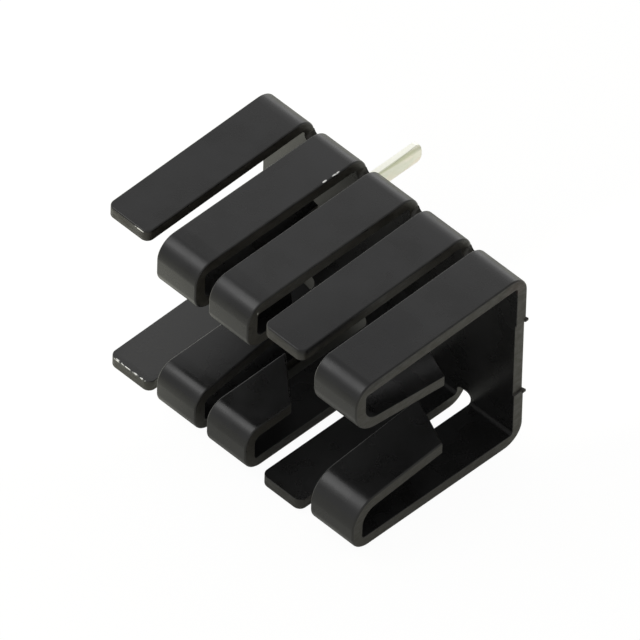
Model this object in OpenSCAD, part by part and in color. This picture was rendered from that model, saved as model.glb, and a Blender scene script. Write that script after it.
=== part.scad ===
// U-shaped heat sink bent from one blank of aluminium sheet.
// A flat plate stands upright. A row of five fins is bent forward from its top edge
// and another from its bottom edge, and in each row fins two, three and five are
// folded back on themselves like a hairpin. A solder pin stands in the plate's back.
// The plate's length runs along X, the fins reach towards -Y, and +Z is up.

/* [Sheet] */
// Thickness of the aluminium sheet
sheet_t = 1.5; // [1:0.05:1.8]
// Length of the plate, along the row of fins
body_len = 38.1; // [36:0.1:50]
// Height over the outer faces of both rows
body_h = 25.4; // [24:0.1:36]
// Outer radius of the bends between the plate and the fins
bend_r = 2.6; // [2.2:0.05:3]
// Inner radius of the pressed bends
crease_r = 0.4; // [0.2:0.05:0.6]

/* [Fins] */
// Width of the slots between the fins
slot_w = 2; // [1.4:0.05:3]
// Extra width of the first fin, at the far end
far_extra = 0.22; // [0:0.02:1]
// Extra width of the fifth fin, at the near end
near_extra = 0.48; // [0:0.02:1]
// Reach of the straight fins from the plate's back face
fin_reach = 25.05; // [22:0.05:32]
// Radius of the corners of a straight fin's tip
tip_r = 0.9; // [0.3:0.05:1.5]
// Distance from a row's outer face to the end of a slot
slot_end = 2.75; // [2.5:0.05:4]
// Corner radius at the end of a slot
slot_r = 0.65; // [0.3:0.05:0.9]

/* [Folded fins] */
// Reach of the folded fins from the plate's back face to the nose
nose_reach = 25.55; // [22:0.05:32]
// Height of the hollow inside fins two and three
hollow_h = 3.1; // [2.8:0.05:4]
// Height of the hollow inside fin five, at its nose
end_hollow_h = 3.6; // [3.2:0.05:4.5]
// Length of fin two's returning leg, from the nose to the near corner of its end
long_return = 19.5; // [12:0.05:20]
// Length of fin three's returning leg, measured in the same way
short_return = 6.85; // [5.5:0.05:9]
// Length of fin five's returning leg, measured in the same way
end_return = 13.3; // [10:0.05:16]
// Slant of the end of fin two's returning leg, in degrees
long_slant = 11; // [0:1:14]
// Taper of the near edge of fin two's returning leg, in degrees
long_taper = 5; // [0:0.5:6]
// Slant of the end of fin three's returning leg
short_slant = 40; // [0:1:45]
// Slant of the end of fin five's returning leg
end_slant = 23; // [0:1:30]
// Inner radius of the second bend of fins two and three
fold_r = 0.8; // [0.3:0.05:1.2]
// Inner radius of the second bend of fin five
end_fold_r = 2; // [1:0.05:2.4]

/* [Plate] */
// Diameter of the hole for the device's screw
screw_d = 3.8; // [2.5:0.1:5]
// Length of the notch where the blank was cut from its carrier strip
notch_len = 10.6; // [6:0.1:13]
// Depth of that notch
notch_d = 0.2; // [0.1:0.05:0.5]
// Height of the burrs left at the ends of the notch
burr_h = 0.2; // [0.1:0.05:0.4]

/* [Solder pin] */
// Thickness of the pin
pin_t = 0.86; // [0.6:0.02:1.2]
// Width of the pin
pin_w = 2.4; // [1.6:0.05:3]
// Length of the pin beyond the plate's back face
pin_out = 7.9; // [4:0.1:12]
// Distance of the pin from the plate's middle, along its length
pin_off_x = 5.08; // [3.5:0.02:9]
// Height of the pin above the plate's middle
pin_off_z = 7.62; // [5:0.02:8]
// Corner radius of the pin's tip
pin_tip_r = 0.75; // [0.2:0.05:0.75]
// Where the flat on the pin's near upper edge starts, from the back face
flat_at = 3.6; // [0.5:0.1:3.8]
// Width of that flat across the pin's thickness, at the tip
flat_t = 0.3; // [0.1:0.02:0.5]
// Height of that flat on the pin's side, at the tip
flat_h = 1; // [0.5:0.05:1.3]

/* [Hidden] */
$fn = 64;
fin_count = 5;
// How far cutters pass beyond the faces that they cut
eps = 0.5;

// Shape of each fin: 0 is straight, the others are columns of the lists below
fin_kind = [0, 1, 2, 0, 3];
fold_hollow = [0, hollow_h, hollow_h, end_hollow_h];
fold_return = [0, long_return, short_return, end_return];
fold_slant = [0, long_slant, short_slant, end_slant];
fold_taper = [0, long_taper, 0, 0];
fold_radius = [0, fold_r, fold_r, end_fold_r];
// Spring-back of each fin in degrees, outwards positive
top_lean = [-1.06, 0.3, 0, -1.1, -0.4];
low_lean = [0.5, 0.3, -0.5, -0.7, -1.1];
// How much shorter each fin came out than the drawing
top_trim = [0.1, 0, 0, -0.25, 0];
low_trim = [0.85, 0.4, 0.1, 0.05, 0.05];
// How much higher the hollow inside each fin came out than the drawing
top_more = [0, 0.45, 0.25, 0, 0];
low_more = [0, 0, 0, 0, 0];
// How far each returning leg opens towards the middle, in degrees
top_open = [0, 0, 0, 0, 7.8];
low_open = [0, 0, 0, 0, 4.2];
// Where a fin starts to lean, measured from the back face, and its lap on the bend
lean_at = bend_r + 0.4;
lap = 0.1;

// Width of the three inner fins
fin_w = (body_len - (fin_count - 1) * slot_w - far_extra - near_extra) / fin_count;
pitch = fin_w + slot_w;
function fin_x0(i) = i == 0 ? 0 : far_extra + i * pitch;
function fin_x1(i) = i == fin_count - 1 ? body_len : far_extra + i * pitch + fin_w;

// How far the lower row's tips hang below its bends
low_drop = max([for (i = [0:fin_count - 1])
    (fin_reach - low_trim[i] - lean_at) * tan(low_lean[i])]);
mid_z = low_drop + body_h / 2;
// The back face's place, so that the origin is at the middle of the whole depth
back_y = (nose_reach - pin_out) / 2;
pin_x = -pin_off_x;
pin_z = mid_z + pin_off_z;

// A folded strip is described by the path of its outside surface: a list of legs,
// each [length, right turn at its end, outer radius, inner radius]
function heading(legs, k, a0) =
    k == 0 ? a0 : heading(legs, k - 1, a0) - legs[k - 1][1];
function unit(a) = [cos(a), sin(a)];
function corner(legs, k, a0, p0) =
    k == 0 ? p0
           : corner(legs, k - 1, a0, p0) + legs[k - 1][0] * unit(heading(legs, k - 1, a0));
// Point of the inside surface that lies across from corner k of the outside
function across(legs, k, a0, p0) =
    let (n = len(legs),
         a = heading(legs, min(k, n - 1), a0),
         turn = k == 0 || k == n ? 0 : legs[k - 1][1])
    corner(legs, k, a0, p0) + sheet_t * (unit(a - 90) + tan(turn / 2) * unit(a));

// Area between the two sides of a corner and the circle that rounds it. The circle is
// a hair larger than a tangent one, so that it crosses both sides at a clear angle.
module corner_area(p, a, turn, r, out) {
    q = r * tan(turn / 2);
    t1 = p - q * unit(a);
    t2 = p + q * unit(a - turn);
    difference() {
        polygon([t1 + r * unit(a - 90), t1, t1 + out * unit(a + 90),
                 p + out * (unit(a + 90) + tan(turn / 2) * unit(a)),
                 t2 + out * unit(a - turn + 90), t2]);
        translate(t1 + r * unit(a - 90))
            circle(r + 0.002);
    }
}

// Section of a folded strip: its corners are rounded outside and filleted inside
module strip(legs, a0, p0) {
    n = len(legs);
    difference() {
        polygon(concat([for (k = [0:n]) corner(legs, k, a0, p0)],
                       [for (k = [n:-1:0]) across(legs, k, a0, p0)]));
        for (k = [1:n - 1])
            if (legs[k - 1][2] > 0)
                corner_area(corner(legs, k, a0, p0), heading(legs, k - 1, a0),
                            legs[k - 1][1], legs[k - 1][2], 0.2);
    }
    for (k = [1:n - 1])
        if (legs[k - 1][3] > 0)
            corner_area(across(legs, k, a0, p0), heading(legs, k - 1, a0),
                        legs[k - 1][1], legs[k - 1][3], 0.2);
}

// Extrudes a section along X, with its first axis along Y and its second up
module along_x(x0, w) {
    translate([x0, 0, 0])
        rotate([90, 0, 90])
            linear_extrude(w)
                children();
}

// The channel: the plate, its two bends and the roots of all fins in one profile
module channel() {
    root = lean_at - lap;
    along_x(0, body_len)
        strip([[root, 90, bend_r, crease_r], [body_h, 90, bend_r, crease_r],
               [root, 0, 0, 0]], 180, [root, -body_h]);
}

// Outside path of one fin, from its root to its tip or to its returning leg's end
function fin_path(kind, w, lean, open, trim, more) =
    let (reach = (kind == 0 ? fin_reach : nose_reach) - trim - lean_at,
         hollow = fold_hollow[kind] + more,
         back = fold_return[kind] + w * tan(fold_slant[kind]) + 1,
         r = fold_radius[kind],
         root = [2 * lap, -lean, 0, 0])
    kind == 0 ? [root, [reach / cos(lean) + eps, 0, 0, 0]]
              : [root,
                 [reach / cos(lean), 90 + lean, bend_r - 0.1, crease_r],
                 [hollow + 2 * sheet_t, 90 - open, r + sheet_t, r],
                 [back / cos(open), 0, 0, 0]];

// One fin of a row whose outer face is at height zero and whose fins reach to +Y
module fin(i, lean, open, trim, more) {
    x0 = fin_x0(i);
    w = fin_x1(i) - x0;
    kind = fin_kind[i];
    difference() {
        along_x(x0, w)
            strip(fin_path(kind, w, lean, open, trim, more), 0, [lean_at - 2 * lap, 0]);
        if (kind == 0)
            tip_corners(x0, w, fin_reach - trim);
        else
            return_end(x0, w, kind, nose_reach - trim);
    }
}

// Cuts a straight fin's tip off square and rounds both of its corners
module tip_corners(x0, w, reach) {
    translate([x0 - eps, reach, -sheet_t - 2])
        cube([w + 2 * eps, 2 * eps, sheet_t + 4]);
    for (s = [0, 1])
        translate([x0 + s * w, reach, -sheet_t - 2])
            mirror([s, 0, 0])
                linear_extrude(sheet_t + 4)
                    difference() {
                        translate([-eps, -tip_r])
                            square([tip_r + eps, tip_r + eps]);
                        translate([tip_r, -tip_r])
                            circle(tip_r);
                    }
}

// Cuts the end of a returning leg at a slant that leaves its far side longer, and
// tapers its near edge from just behind the nose
module return_end(x0, w, kind, nose) {
    y1 = nose - fold_return[kind];
    slope = tan(fold_slant[kind]);
    depth = body_h / 2;
    y2 = nose - sheet_t - fold_radius[kind] - 0.5;
    translate([0, 0, -sheet_t - fold_hollow[kind] / 2 - depth])
        linear_extrude(depth) {
            polygon([[x0 - eps, -eps], [x0 + w + eps, -eps],
                     [x0 + w + eps, y1 + eps * slope], [x0 - eps, y1 - (w + eps) * slope]]);
            if (fold_taper[kind] > 0)
                polygon([[x0 + w, y2], [x0 + w - (y2 + eps) * tan(fold_taper[kind]), -eps],
                         [x0 + w + eps, -eps], [x0 + w + eps, y2]]);
        }
}

// The four slots of a row, cut through the bend and a little way into the plate
module slots() {
    for (i = [0:fin_count - 2])
        translate([fin_x1(i), lean_at + eps, -slot_end])
            rotate([90, 0, 0])
                linear_extrude(lean_at + 2 * eps) {
                    translate([slot_r, 0])
                        square([slot_w - 2 * slot_r, slot_end + eps]);
                    translate([0, slot_r])
                        square([slot_w, slot_end + eps - slot_r]);
                    for (x = [slot_r, slot_w - slot_r])
                        translate([x, slot_r])
                            circle(slot_r);
                }
}

// Puts a row's shapes on the upper edge of the plate, or mirrors them to the lower
module on_row(low) {
    translate([0, 0, low ? -body_h : 0])
        mirror([0, 0, low ? 1 : 0])
            children();
}

// Notch at the near end of the plate, where the blank left its carrier strip
module notch() {
    translate([body_len - notch_d, -eps, -(body_h + notch_len) / 2])
        cube([notch_d + eps, sheet_t + 2 * eps, notch_len]);
}

// Thin burrs that the cut-off pushed out of the back face at the notch's ends
module burrs() {
    for (s = [-1, 1])
        translate([body_len - notch_d - 0.5, 0, (s * notch_len - body_h) / 2])
            mirror([0, 0, s < 0 ? 1 : 0])
                linear_extrude(0.35)
                    polygon([[0, eps / 2], [0, 0], [0.8, -burr_h], [0.8, eps / 2]]);
}

module pin_hole() {
    translate([body_len / 2 + pin_x - pin_t / 2, -eps, pin_off_z - (body_h + pin_w) / 2])
        cube([pin_t, sheet_t + 2 * eps, pin_w]);
}

module screw_hole() {
    translate([body_len / 2, sheet_t + eps, -body_h / 2])
        rotate([90, 0, 0])
            cylinder(d = screw_d, h = sheet_t + 2 * eps);
}

module heat_sink_body() {
    color([0.1, 0.1, 0.1])
        translate([-body_len / 2, back_y, mid_z + body_h / 2])
            mirror([0, 1, 0])
                difference() {
                    union() {
                        difference() {
                            channel();
                            for (low = [false, true])
                                on_row(low)
                                    slots();
                        }
                        for (i = [0:fin_count - 1]) {
                            fin(i, top_lean[i], top_open[i], top_trim[i], top_more[i]);
                            on_row(true)
                                fin(i, low_lean[i], low_open[i], low_trim[i], low_more[i]);
                        }
                        burrs();
                    }
                    notch();
                    pin_hole();
                    screw_hole();
                }
}

// Side view of the pin: its root fills the hole in the plate, its tip is rounded
module pin_outline() {
    difference() {
        square([sheet_t + pin_out, pin_w]);
        for (s = [0, 1])
            translate([sheet_t + pin_out, s * pin_w])
                mirror([0, s])
                    difference() {
                        translate([-pin_tip_r, -eps])
                            square([pin_tip_r + eps, pin_tip_r + eps]);
                        translate([-pin_tip_r, pin_tip_r])
                            circle(pin_tip_r);
                    }
    }
}

// Cutter for the flat that was coined on the pin's edge and widens towards the tip: a
// block that stands on the flat's plane, at the point where the flat starts
module edge_flat() {
    run = pin_out - flat_at;
    out = [1 / flat_t, 1 / run, 1 / flat_h];
    translate([pin_t, sheet_t + flat_at, pin_w])
        rotate([0, acos(out[2] / norm(out)), atan2(out[1], out[0])])
            translate([-run - 1, -run - 1, 0])
                cube([2 * run + 2, 2 * run + 2, 2]);
}

// Flat solder pin, stamped from tinned sheet
module solder_pin() {
    color([0.82, 0.81, 0.74])
        translate([pin_x - pin_t / 2, back_y - sheet_t, pin_z - pin_w / 2])
            difference() {
                along_x(0, pin_t)
                    pin_outline();
                edge_flat();
            }
}

heat_sink_body();
solder_pin();
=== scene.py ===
# A u-shaped heat sink of black anodised aluminium sheet, seen from above its near end.
# Everything is in metres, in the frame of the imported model: the plate's length runs
# along X, the fins reach towards -Y, and +Z is up.
import math

import bmesh
import bpy
import numpy as np
from mathutils import Matrix, Vector


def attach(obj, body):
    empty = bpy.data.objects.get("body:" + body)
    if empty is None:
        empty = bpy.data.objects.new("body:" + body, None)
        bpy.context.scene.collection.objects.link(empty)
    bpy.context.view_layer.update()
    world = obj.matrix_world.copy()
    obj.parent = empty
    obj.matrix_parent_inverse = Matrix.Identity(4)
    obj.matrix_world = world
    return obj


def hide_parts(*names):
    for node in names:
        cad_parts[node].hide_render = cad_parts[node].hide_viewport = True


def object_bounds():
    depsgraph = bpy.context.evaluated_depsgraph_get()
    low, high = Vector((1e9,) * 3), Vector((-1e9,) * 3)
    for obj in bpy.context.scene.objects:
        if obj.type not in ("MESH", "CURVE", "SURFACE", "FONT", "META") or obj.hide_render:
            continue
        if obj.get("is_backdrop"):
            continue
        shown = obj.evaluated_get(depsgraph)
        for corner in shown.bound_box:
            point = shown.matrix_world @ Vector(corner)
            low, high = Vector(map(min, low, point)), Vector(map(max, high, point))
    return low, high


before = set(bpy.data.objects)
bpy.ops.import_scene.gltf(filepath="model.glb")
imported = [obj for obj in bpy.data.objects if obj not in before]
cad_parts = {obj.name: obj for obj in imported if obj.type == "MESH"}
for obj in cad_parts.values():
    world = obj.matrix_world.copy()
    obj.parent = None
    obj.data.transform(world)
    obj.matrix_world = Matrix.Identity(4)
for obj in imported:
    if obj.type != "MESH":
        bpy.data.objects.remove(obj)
cad_low, cad_high = (list(corner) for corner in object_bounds())

# The heat sink's body
# One blank of 1.5 mm aluminium sheet, sheared and folded in a progressive tool, and
# then etched and dyed black. Its faces are satin, its sheared edges are rougher and
# browner, and the shear has rolled the corners of its outer faces over.
mm = 0.001
sheet = 1.5 * mm
back_face = cad_high[1] - 7.9 * mm       # the pin's tip is the rearmost point
nose_face = cad_low[1]                   # front of the folded fins
upper_face = 25.585 * mm                 # outer face of the upper row, at its bends
lower_face = 0.185 * mm                  # and of the lower one


def copied_solid(node, name):
    """A smooth-shaded copy of a CAD node as one closed mesh: its loose triangles are
    welded, and triangles that lie in one plane are joined."""
    bm = bmesh.new()
    bm.from_mesh(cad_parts[node].data)
    bmesh.ops.remove_doubles(bm, verts=bm.verts, dist=0.002 * mm)
    bmesh.ops.dissolve_limit(bm, angle_limit=math.radians(0.4),
                             verts=bm.verts, edges=bm.edges)
    for f in bm.faces:
        f.smooth = True
    mesh = bpy.data.meshes.new(name)
    bm.to_mesh(mesh)
    bm.free()
    piece = bpy.data.objects.new(name, mesh)
    bpy.context.scene.collection.objects.link(piece)
    return piece


def face_table(mesh, key):
    """The X, Y and Z of a property of all faces of a mesh, such as their centres."""
    values = np.empty(len(mesh.polygons) * 3)
    mesh.polygons.foreach_get(key, values)
    return values.reshape(-1, 3).T


def evenly_shaded(piece):
    """Keeps flat faces flat beside round edges, by weighting normals by face area."""
    even = piece.modifiers.new("even_shading", "WEIGHTED_NORMAL")
    even.weight = 100


body = copied_solid("heat_sink_body", "folded_sheet")
x, y, z = face_table(body.data, "center")
nx, ny, nz = face_table(body.data, "normal")
upper = z > (upper_face + lower_face) / 2
depth = np.where(upper, upper_face - z, z - lower_face)
outward = np.where(upper, nz, -nz)
# A face is sheared where it looks along the plate, is the tip of a straight fin (the
# first or fourth of a row) or the end of a returning leg, or lines a slot of the plate
straight = (np.abs(x + 16 * mm) < 4.5 * mm) | (np.abs(x - 7.7 * mm) < 3.6 * mm)
sheared = np.abs(nx) > 0.5
sheared |= (ny < -0.7) & (y < back_face - 24 * mm) & straight
sheared |= (ny > 0.7) & (y < back_face - 3 * mm) & (y > nose_face + 2 * sheet)
sheared |= (np.abs(ny) < 0.3) & (y > back_face - sheet) & (depth > 2.62 * mm)
# The outer faces are those on the outside of every bend: the outer side of a row and
# of its returning legs, the noses, and the back of the plate
outer = (outward > 0.3) & (depth < 1.2 * mm)
outer |= (outward < -0.3) & (depth > 5.4 * mm)
outer |= (ny < -0.05) & (y < nose_face + 3.1 * mm)
outer |= (ny > 0.3) & (y > back_face - 2.6 * mm)
outer &= ~sheared
# The tool's edge pressed a tight crease into the inside of each bend
crease = ~sheared & ~outer & (np.abs(ny) > 0.15) & (np.abs(nz) > 0.15)

# How wide each sharp edge is rolled, as a share of the widest roll. The ends of the
# slots and the torn edges of the cut-off notch stay sharp.
bm = bmesh.new()
bm.from_mesh(body.data)
rolls = bm.edges.layers.float.new("bevel_weight_edge")
for e in bm.edges:
    if len(e.link_faces) == 2 and e.calc_face_angle_signed(0) > math.radians(35):
        one, two = (f.index for f in e.link_faces)
        e[rolls] = 1.0 if outer[one] or outer[two] else 0.3
        middle = (e.verts[0].co + e.verts[1].co) / 2
        level = min(upper_face - middle.z, middle.z - lower_face)
        torn = middle.x > 17 * mm and 6.5 * mm < level < 8.5 * mm
        slotted = abs(middle.x) < 17 * mm and level > 2 * mm
        if middle.y > back_face - 0.6 * mm and (torn or slotted):
            e[rolls] = 0
bm.to_mesh(body.data)
bm.free()
roll = body.modifiers.new("rolled_edges", "BEVEL")
roll.limit_method = "WEIGHT"
roll.width = 0.2 * mm
roll.segments = 3
roll.use_clamp_overlap = False
roll.material = 2                        # the rolled skin, in the list further down
evenly_shaded(body)


def maths(tree, operation, *values):
    """A Math node fed with numbers or sockets; returns its result."""
    node = tree.nodes.new("ShaderNodeMath")
    node.operation = operation
    for slot, value in zip(node.inputs, values):
        if isinstance(value, bpy.types.NodeSocket):
            tree.links.new(value, slot)
        else:
            slot.default_value = value
    return node.outputs[0]


def ramp(tree, value, start, end, low=0.0, high=1.0):
    """A smooth step of value, from low at start to high at end."""
    node = tree.nodes.new("ShaderNodeMapRange")
    node.interpolation_type = "SMOOTHSTEP"
    tree.links.new(value, node.inputs["Value"])
    limits = {"From Min": start, "From Max": end, "To Min": low, "To Max": high}
    for name, number in limits.items():
        node.inputs[name].default_value = number
    return node.outputs["Result"]


def blend(tree, share, one, other):
    """A colour between one and other, which are colours or sockets."""
    node = tree.nodes.new("ShaderNodeMix")
    node.data_type = "RGBA"
    tree.links.new(share, node.inputs["Factor"])
    for name, colour in (("A", one), ("B", other)):
        if isinstance(colour, bpy.types.NodeSocket):
            tree.links.new(colour, node.inputs[name])
        else:
            node.inputs[name].default_value = (*colour, 1)
    return node.outputs["Result"]


def axes(tree, source, output):
    """The X, Y and Z of what an input node, such as Texture Coordinate, gives."""
    place = tree.nodes.new(source)
    split = tree.nodes.new("ShaderNodeSeparateXYZ")
    tree.links.new(place.outputs[output], split.inputs[0])
    return split.outputs


def blot(tree, centre, half, edge):
    """1 inside an ellipsoid and 0 outside it. Its centre and half widths are given in
    millimetres, and it fades out between the two shares of its width in edge."""
    place = tree.nodes.new("ShaderNodeTexCoord")
    shift = tree.nodes.new("ShaderNodeMapping")
    shift.vector_type = "TEXTURE"
    shift.inputs["Location"].default_value = [c * mm for c in centre]
    shift.inputs["Scale"].default_value = [h * mm for h in half]
    away = tree.nodes.new("ShaderNodeVectorMath")
    away.operation = "LENGTH"
    tree.links.new(place.outputs["Object"], shift.inputs["Vector"])
    tree.links.new(shift.outputs["Vector"], away.inputs[0])
    return ramp(tree, away.outputs["Value"], *edge, 1, 0)


def bumped(tree, height, distance, strength=1.0, over=None):
    """A Bump node that raises the surface by height times distance. It may be laid
    over another Bump node."""
    bump = tree.nodes.new("ShaderNodeBump")
    bump.inputs["Strength"].default_value = strength
    bump.inputs["Distance"].default_value = distance
    tree.links.new(height, bump.inputs["Height"])
    if over:
        tree.links.new(over.outputs["Normal"], bump.inputs["Normal"])
    return bump


def etched_grain():
    """Group for a chemically etched metal skin. Grain is fine noise in the surface and
    Cloud is a soft mottle several grains wide. Both run from 0 to 1, and both sizes
    are in millimetres."""
    group = bpy.data.node_groups.new("etched_grain", "ShaderNodeTree")
    for name, kind, way in (("Grain Size", "Float", "INPUT"),
                            ("Cloud Size", "Float", "INPUT"),
                            ("Stretch", "Vector", "INPUT"),
                            ("Grain", "Float", "OUTPUT"),
                            ("Cloud", "Float", "OUTPUT")):
        group.interface.new_socket(name, in_out=way, socket_type="NodeSocket" + kind)
    given = group.nodes.new("NodeGroupInput")
    result = group.nodes.new("NodeGroupOutput")
    place = group.nodes.new("ShaderNodeTexCoord")
    drawn = group.nodes.new("ShaderNodeVectorMath")
    drawn.operation = "MULTIPLY"
    group.links.new(place.outputs["Object"], drawn.inputs[0])
    group.links.new(given.outputs["Stretch"], drawn.inputs[1])
    for name, detail in (("Grain", 2), ("Cloud", 3)):
        noise = group.nodes.new("ShaderNodeTexNoise")
        noise.inputs["Detail"].default_value = detail
        scale = maths(group, "DIVIDE", 1 / mm, given.outputs[name + " Size"])
        group.links.new(drawn.outputs["Vector"], noise.inputs["Vector"])
        group.links.new(scale, noise.inputs["Scale"])
        group.links.new(noise.outputs["Fac"], result.inputs[name])
    return group


def worn_edges(marks):
    """Group whose mask is 1 where handling has worn the skin off down to bare metal.
    Each mark is the centre and the half widths of an ellipsoid, broken up by noise."""
    group = bpy.data.node_groups.new("worn_edges", "ShaderNodeTree")
    group.interface.new_socket("Mask", in_out="OUTPUT", socket_type="NodeSocketFloat")
    result = group.nodes.new("NodeGroupOutput")
    place = group.nodes.new("ShaderNodeTexCoord")
    noise = group.nodes.new("ShaderNodeTexNoise")
    noise.inputs["Scale"].default_value = 1 / (0.5 * mm)
    noise.inputs["Detail"].default_value = 3
    group.links.new(place.outputs["Object"], noise.inputs["Vector"])
    mask = 0
    for centre, half in marks:
        mask = maths(group, "MAXIMUM", mask, blot(group, centre, half, (0.75, 1.0)))
    broken = ramp(group, noise.outputs["Fac"], 0.38, 0.5)
    group.links.new(maths(group, "MULTIPLY", mask, broken), result.inputs["Mask"])
    return group


def grouped(tree, group, values):
    """A node that stands for a group, with the given input values."""
    node = tree.nodes.new("ShaderNodeGroup")
    node.node_tree = group
    for name, value in values.items():
        node.inputs[name].default_value = value
    return node


grain_group = etched_grain()
worn_group = worn_edges([
    # Along the tip of the lower first fin
    ((-17.75, -15.34, 1.5), (0.8, 0.16, 0.17)),
    ((-16.5, -15.38, 1.5), (0.9, 0.08, 0.1)),
    ((-15.05, -15.38, 1.5), (0.5, 0.15, 0.17)),
    ((-13.9, -15.36, 1.5), (0.5, 0.13, 0.15)),
    # On the tip of the upper first fin
    ((-14.2, -16.1, 24.97), (0.8, 0.1, 0.1)),
    # On the near edge of the upper second fin
    ((-5.22, 4.3, 25.6), (0.09, 0.7, 0.3)),
    ((-5.25, 2.6, 25.6), (0.11, 0.35, 0.3)),
    # On the nose of the upper third fin
    ((2.85, -15.25, 24.3), (0.2, 0.1, 0.3))])
# Places where the dye has another colour, and where shade is painted in as a darker
# colour: centre and half widths in millimetres, the shares of the width where it fades
# out, its strength and its colour
stains_and_painted_shade = [
    # A pale bloom on the lower first fin
    ((-16, -6, 1.7), (4.5, 15, 0.8), (0.7, 1.1), 1, (0.031, 0.031, 0.03)),
    # Shade painted as a darker colour on the near upper fins, towards their noses
    ((13.5, -15, 25.3), (10, 14, 1.2), (0.4, 1.0), 1, (0.003, 0.003, 0.0033)),
    # Shade painted as a darker colour on the ends of the lower straight fins
    ((7.75, -16.2, 1.2), (3.8, 0.9, 1.4), (0.85, 1.1), 0.5, (0.006, 0.006, 0.005)),
    ((-16, -15.4, 1.0), (3.8, 0.9, 1.4), (0.85, 1.1), 0.3, (0.006, 0.006, 0.005)),
    # Dye that has turned brown on the last fin's sheared bend
    ((19.1, 7.0, 24.2), (0.6, 2.4, 1.6), (0.4, 1.0), 0.6, (0.042, 0.027, 0.023))]


def dyed_skin(name, dark, light, rough, bump=0.008, cloud=1.5, stretch=(1, 1, 1),
              scatter=0.0, edge_highlight=0.0):
    """An oxide skin over etched aluminium, coloured with black dye. Base colour from dark
    to light and roughness from rough[0] to rough[1] follow the mottle, which is cloud
    millimetres wide, and the grain raises it by bump millimetres. Stains and painted shade
    are laid over the colour. Scatter is the roughness added at grazing angles, and the
    last argument tells how much a painted highlight pales the upper edges that face the
    far end."""
    material = bpy.data.materials.new(name)
    material.use_nodes = True
    tree = material.node_tree
    skin = tree.nodes["Principled BSDF"]
    etch = grouped(tree, grain_group,
                   {"Grain Size": 0.2, "Cloud Size": cloud, "Stretch": stretch})
    worn = grouped(tree, worn_group, {}).outputs["Mask"]
    dye_and_painted_light = blend(tree, ramp(tree, etch.outputs["Cloud"], 0.3, 0.7), dark, light)
    # Stains, and shade painted as a darker colour, are laid over the dye
    for centre, half, edge, share, colour in stains_and_painted_shade:
        stain_and_shade = maths(tree, "MULTIPLY", blot(tree, centre, half, edge), share)
        dye_and_painted_light = blend(tree, stain_and_shade, dye_and_painted_light, colour)
    facing_x, _, facing_z = axes(tree, "ShaderNodeNewGeometry", "Normal")
    # A painted highlight makes the upper edges that face the far end paler
    far = maths(tree, "MULTIPLY", ramp(tree, facing_x, -0.75, -0.25, edge_highlight, 0),
                ramp(tree, facing_z, 0.1, 0.35))
    dye_and_painted_light = blend(tree, far, dye_and_painted_light, (0.12, 0.12, 0.115))
    bared = blend(tree, worn, dye_and_painted_light, (0.75, 0.75, 0.72))
    tree.links.new(bared, skin.inputs["Base Color"])
    tree.links.new(maths(tree, "MULTIPLY", worn, 0.6), skin.inputs["Metallic"])
    facing = tree.nodes.new("ShaderNodeLayerWeight")
    grazing = ramp(tree, facing.outputs["Facing"], 0.6, 0.95, 0, scatter)
    spread = ramp(tree, etch.outputs["Cloud"], 0.3, 0.7, *rough)
    tree.links.new(maths(tree, "ADD", spread, grazing), skin.inputs["Roughness"])
    # The fins fall away a little towards the bend at the back, and the second and third
    # sink a little just before their noses, by so many millimetres
    x, y, _ = axes(tree, "ShaderNodeTexCoord", "Object")
    crown = maths(tree, "SUBTRACT", y, back_face - 7 * mm)
    crown = maths(tree, "DIVIDE", maths(tree, "MAXIMUM", crown, 0), 4.8 * mm)
    crown = maths(tree, "MULTIPLY", maths(tree, "POWER", crown, 2), 0.09)
    sink = maths(tree, "SUBTRACT", nose_face + 3.9 * mm, y)
    sink = maths(tree, "DIVIDE", maths(tree, "MAXIMUM", sink, 0), 3.5 * mm)
    sink = maths(tree, "MULTIPLY", maths(tree, "POWER", sink, 1.5), 0.25)
    aside = maths(tree, "ABSOLUTE", maths(tree, "ADD", x, 4 * mm))
    sink = maths(tree, "MULTIPLY", sink, maths(tree, "LESS_THAN", aside, 7.4 * mm))
    form = bumped(tree, maths(tree, "ADD", crown, sink), 1 * mm)
    form.invert = True
    relief = bumped(tree, etch.outputs["Grain"], bump * mm, over=form)
    tree.links.new(relief.outputs["Normal"], skin.inputs["Normal"])
    skin.inputs["Specular IOR Level"].default_value = 0.4
    return material


for skin in (
        dyed_skin("black_anodised_satin", (0.0075, 0.0075, 0.0073),
                  (0.0105, 0.0105, 0.0108), (0.24, 0.34), 0.006, 4, scatter=0.15),
        dyed_skin("black_anodised_sheared", (0.016, 0.0148, 0.0115),
                  (0.031, 0.0285, 0.0225), (0.32, 0.6), 0.02, 1.1, (1, 1, 3), 0.4),
        # The rolled edges are painted paler where they face the far end, a painted
        # highlight
        dyed_skin("black_anodised_rolled", (0.0075, 0.0075, 0.007),
                  (0.014, 0.0135, 0.0125), (0.26, 0.36), edge_highlight=1),
        # Painted shade: the inner creases get a darker skin, and a rougher one
        dyed_skin("black_anodised_crease_shade", (0.005, 0.005, 0.0048),
                  (0.008, 0.008, 0.0075), (0.6, 0.75))):
    body.data.materials.append(skin)
skins = np.select([sheared, crease], [1, 3], 0)
body.data.polygons.foreach_set("material_index", skins.astype(np.int32))
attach(body, "root")
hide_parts("heat_sink_body")

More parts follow.
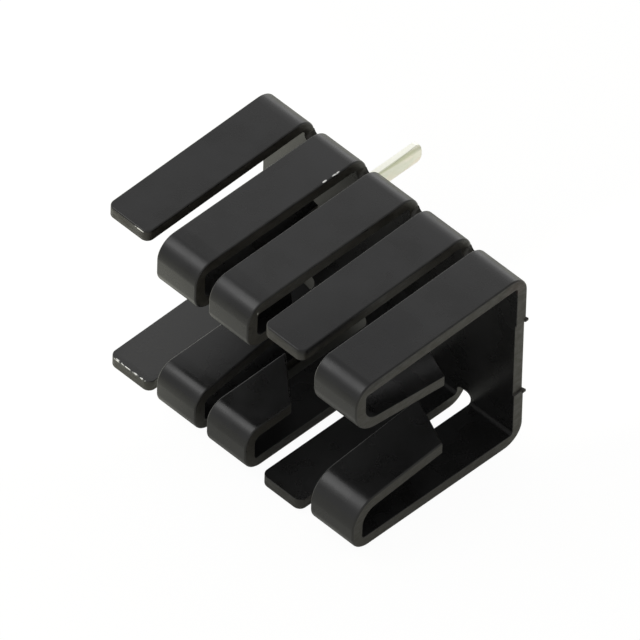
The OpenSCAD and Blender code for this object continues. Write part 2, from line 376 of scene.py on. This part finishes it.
# The solder pin
# A flat pin stamped from tin-plated steel strip and pressed into a hole in the plate.
# Its upper narrow face is painted paler, a painted highlight, and a strip along its near
# upper edge is painted darker and olive, a painted shade.
pin = copied_solid("solder_pin", "tinned_pin")
near_side, top_side = -4.65 * mm, 21.705 * mm   # the planes of its near upper edge
ease = pin.modifiers.new("eased_edges", "BEVEL")
ease.limit_method = "ANGLE"
ease.angle_limit = math.radians(35)
ease.width = 0.05 * mm
ease.segments = 2
ease.use_clamp_overlap = False
evenly_shaded(pin)
tinned = bpy.data.materials.new("bright_tin")
tinned.use_nodes = True
tree = tinned.node_tree
tin = tree.nodes["Principled BSDF"]
streaks = grouped(tree, grain_group,
                  {"Grain Size": 0.35, "Cloud Size": 1.1, "Stretch": (1, 0.25, 1)})
patches = ramp(tree, streaks.outputs["Cloud"], 0.35, 0.65)
warm = blend(tree, patches, (0.86, 0.80, 0.72), (0.88, 0.90, 0.80))
glints = ramp(tree, streaks.outputs["Grain"], 0.4, 0.6, 0, 0.25)
tin_and_painted_light = blend(tree, glints, warm, (0.96, 0.96, 0.92))
x, y, z = axes(tree, "ShaderNodeTexCoord", "Object")
inset = maths(tree, "SUBTRACT", near_side, x)
drop = maths(tree, "SUBTRACT", top_side, z)
# The upper narrow face is painted paler than the near side: a painted highlight
top_highlight = ramp(tree, inset, 0.05 * mm, 0.3 * mm)
tin_and_painted_light = blend(tree, top_highlight, tin_and_painted_light, (1.0, 1.0, 0.9))
# A strip along the near upper edge, widening to the tip, is painted darker and olive:
# painted shade
span = maths(tree, "DIVIDE", drop, ramp(tree, y, 9 * mm, 16 * mm, 0.35 * mm, 1.0 * mm))
span = maths(tree, "MAXIMUM", span, maths(tree, "DIVIDE", inset, 0.25 * mm))
ridge_shade = ramp(tree, span, 0.35, 1.0, 0.75, 0)
tin_and_painted_light = blend(tree, ridge_shade, tin_and_painted_light, (0.60, 0.62, 0.44))
tree.links.new(tin_and_painted_light, tin.inputs["Base Color"])
tin.inputs["Metallic"].default_value = 0.75
dulled = ramp(tree, streaks.outputs["Cloud"], 0.3, 0.7, 0.3, 0.5)
tree.links.new(dulled, tin.inputs["Roughness"])
relief = bumped(tree, streaks.outputs["Grain"], 0.02 * mm, 0.4)
tree.links.new(relief.outputs["Normal"], tin.inputs["Normal"])
pin.data.materials.append(tinned)
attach(pin, "root")
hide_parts("solder_pin")

# The floor
# A plain pale sheet that the part stands on. It is a staging piece, keeps the part's
# soft shadow, and is white wherever nothing shades it.
side = np.linspace(-3, 3, 3)
gx, gy = np.meshgrid(side, side, indexing="ij")
floor_level = np.full(gx.size, cad_low[2] - 0.01 * mm)
points = np.stack([gx.ravel(), gy.ravel(), floor_level], axis=1)
quads = [(3 * i + j, 3 * i + j + 3, 3 * i + j + 4, 3 * i + j + 1)
         for i in range(2) for j in range(2)]
floor_mesh = bpy.data.meshes.new("floor")
floor_mesh.from_pydata(points.tolist(), [], quads)
floor = bpy.data.objects.new("floor", floor_mesh)
bpy.context.scene.collection.objects.link(floor)
paper = bpy.data.materials.new("pale_floor")
paper.use_nodes = True
tree = paper.node_tree
tree.nodes.clear()
# A shadow is painted dark on it at the foot of the plate and in the deep slots on both
# sides of the second fin, and painted shade lies beside the first fin
dark = 0
for centre, half, edge in (((-8.7, 8.2, 0), (7.6, 2.1, 1), (0.8, 1.0)),
                           ((-4.7, 3.0, 0), (1.5, 7.8, 1), (0.86, 1.0)),
                           ((-12.4, 3.0, 0), (2.0, 7.0, 1), (0.8, 1.0))):
    dark = maths(tree, "MAXIMUM", dark, blot(tree, centre, half, edge))
bare = maths(tree, "SUBTRACT", 1, dark)
shade = blot(tree, (-21.5, -8.5, 0), (8, 7.5, 1), (0.5, 1.0))
unshaded = maths(tree, "SUBTRACT", 1, shade)
lit = maths(tree, "MULTIPLY", bare, unshaded)
# Pools of light are painted on it as a glow, at the left of the part, far off and behind
# it
pools = 0
for centre, half, edge, strength in (
        ((-48, -5, 0), (37, 37, 1), (0.76, 1.24), 0.75),
        ((-60, 130, 0), (60, 50, 1), (0.8, 1.4), 0.35),
        ((14, 30, 0), (12, 22, 1), (0.7, 1.3), 0.5)):
    pools = maths(tree, "MULTIPLY_ADD", blot(tree, centre, half, edge), strength, pools)
pool = tree.nodes.new("ShaderNodeEmission")
pool.inputs["Color"].default_value = (1, 1, 0.84, 1)
tree.links.new(maths(tree, "MULTIPLY", pools, lit), pool.inputs["Strength"])
matt = tree.nodes.new("ShaderNodeBsdfDiffuse")
tree.links.new(blend(tree, lit, (0.1, 0.1, 0.09), (0.82, 0.82, 0.74)),
               matt.inputs["Color"])
sheet_light = tree.nodes.new("ShaderNodeAddShader")
tree.links.new(matt.outputs[0], sheet_light.inputs[0])
tree.links.new(pool.outputs[0], sheet_light.inputs[1])
# The camera sees a white floor, with a trace of the light that falls on it and nothing
# of the first fin's shade. Metal mirrors a tenth of that white.
rays = tree.nodes.new("ShaderNodeLightPath")
mirrored = maths(tree, "ADD", rays.outputs["Is Glossy Ray"],
                 rays.outputs["Is Transmission Ray"])
mirrored = maths(tree, "MULTIPLY", maths(tree, "MULTIPLY", mirrored, unshaded), 0.1)
seen = maths(tree, "MAXIMUM", rays.outputs["Is Camera Ray"], mirrored)
trace = maths(tree, "MULTIPLY_ADD", unshaded, -0.06, 1)
clear = maths(tree, "MULTIPLY", maths(tree, "MULTIPLY", seen, bare), trace)
bright = tree.nodes.new("ShaderNodeEmission")
bright.inputs["Color"].default_value = (1, 1, 1, 1)
bright.inputs["Strength"].default_value = 1.02
mix = tree.nodes.new("ShaderNodeMixShader")
tree.links.new(clear, mix.inputs[0])
tree.links.new(sheet_light.outputs[0], mix.inputs[1])
tree.links.new(bright.outputs[0], mix.inputs[2])
surface = tree.nodes.new("ShaderNodeOutputMaterial")
tree.links.new(mix.outputs[0], surface.inputs["Surface"])
floor_mesh.materials.append(paper)
floor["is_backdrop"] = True

# The light
# A white light tent: an even sky, two small panels in front at the left that draw the
# bright bands on the folds, and two large ones behind that light the tops and bends.
world = bpy.data.worlds.new("tent")
bpy.context.scene.world = world
world.use_nodes = True
sky = world.node_tree
background = sky.nodes["Background"]
# The camera sees it white. For all other rays it is dimmer, most of all low down
# behind the near end, where the room shows.
way = sky.nodes.new("ShaderNodeTexCoord")
dot = sky.nodes.new("ShaderNodeVectorMath")
dot.operation = "DOT_PRODUCT"
dot.inputs[1].default_value = (0.725, 0.495, 0.48)
sky.links.new(way.outputs["Generated"], dot.inputs[0])
room = ramp(sky, dot.outputs["Value"], 0.7, 0.9, 0.72, 0.5)
path = sky.nodes.new("ShaderNodeLightPath")
glow = sky.nodes.new("ShaderNodeMapRange")
glow.inputs["To Max"].default_value = 1.0
sky.links.new(path.outputs["Is Camera Ray"], glow.inputs["Value"])
sky.links.new(room, glow.inputs["To Min"])
background.inputs["Color"].default_value = (1, 1, 1, 1)
sky.links.new(glow.outputs["Result"], background.inputs["Strength"])


def soft_lamp(name, place, aim, size, power):
    """A square area lamp at place that faces aim, both in metres."""
    data = bpy.data.lights.new(name, "AREA")
    data.size = size
    data.energy = power
    lamp = bpy.data.objects.new(name, data)
    bpy.context.scene.collection.objects.link(lamp)
    lamp.location = place
    beam = Vector(aim) - Vector(place)
    lamp.rotation_euler = beam.to_track_quat("-Z", "Y").to_euler()


soft_lamp("front_panel", (-0.0655, -0.069, 0.135), (0, -0.01, 0.02), 0.078, 0.0405)
soft_lamp("front_low_panel", (-0.09, -0.12, 0.135), (0, -0.01, 0.02), 0.09, 0.0178)
soft_lamp("back_panel", (-0.306, 0.42, 0.27), (0, 0, 0.02), 0.40, 0.25)
soft_lamp("low_panel", (-0.218, 0.394, 0.06), (0, 0, 0.02), 0.20, 0.11)

# The camera
# A long lens from above the near end, at the angle of the photograph.
azimuth, elevation, tilt = (math.radians(a) for a in (44.07, 46.44, 1.69))
picture = 640                            # width and height of the photograph, in pixels
focal = 24663.5                          # the lens's focal length in such pixels
distance = 2640.8 * mm
forward = Vector((-math.sin(azimuth) * math.cos(elevation),
                  math.cos(azimuth) * math.cos(elevation), -math.sin(elevation)))
level_right = Vector((math.cos(azimuth), math.sin(azimuth), 0))
level_up = level_right.cross(forward)
right = level_right * math.cos(tilt) + level_up * math.sin(tilt)
up = level_up * math.cos(tilt) - level_right * math.sin(tilt)
# The plate's far bottom corner lies at this pixel of the photograph
corner = Vector((-19.05, 8.825, 0.185)) * mm
corner_px = Vector((270.39, 249.52))
side_step = (corner_px.x - picture / 2) / focal * distance
rise_step = -(corner_px.y - picture / 2) / focal * distance
lens = bpy.data.cameras.new("long_lens")
lens.sensor_width = 36
lens.lens = focal * lens.sensor_width / picture
lens.clip_start, lens.clip_end = 0.1, 20
camera = bpy.data.objects.new("long_lens", lens)
bpy.context.scene.collection.objects.link(camera)
turn = Matrix((right, up, -forward)).transposed()
camera.matrix_world = Matrix.Translation(
    corner - right * side_step - up * rise_step - forward * distance) @ turn.to_4x4()
bpy.context.scene.camera = camera
bpy.context.scene.view_settings.view_transform = "Standard"
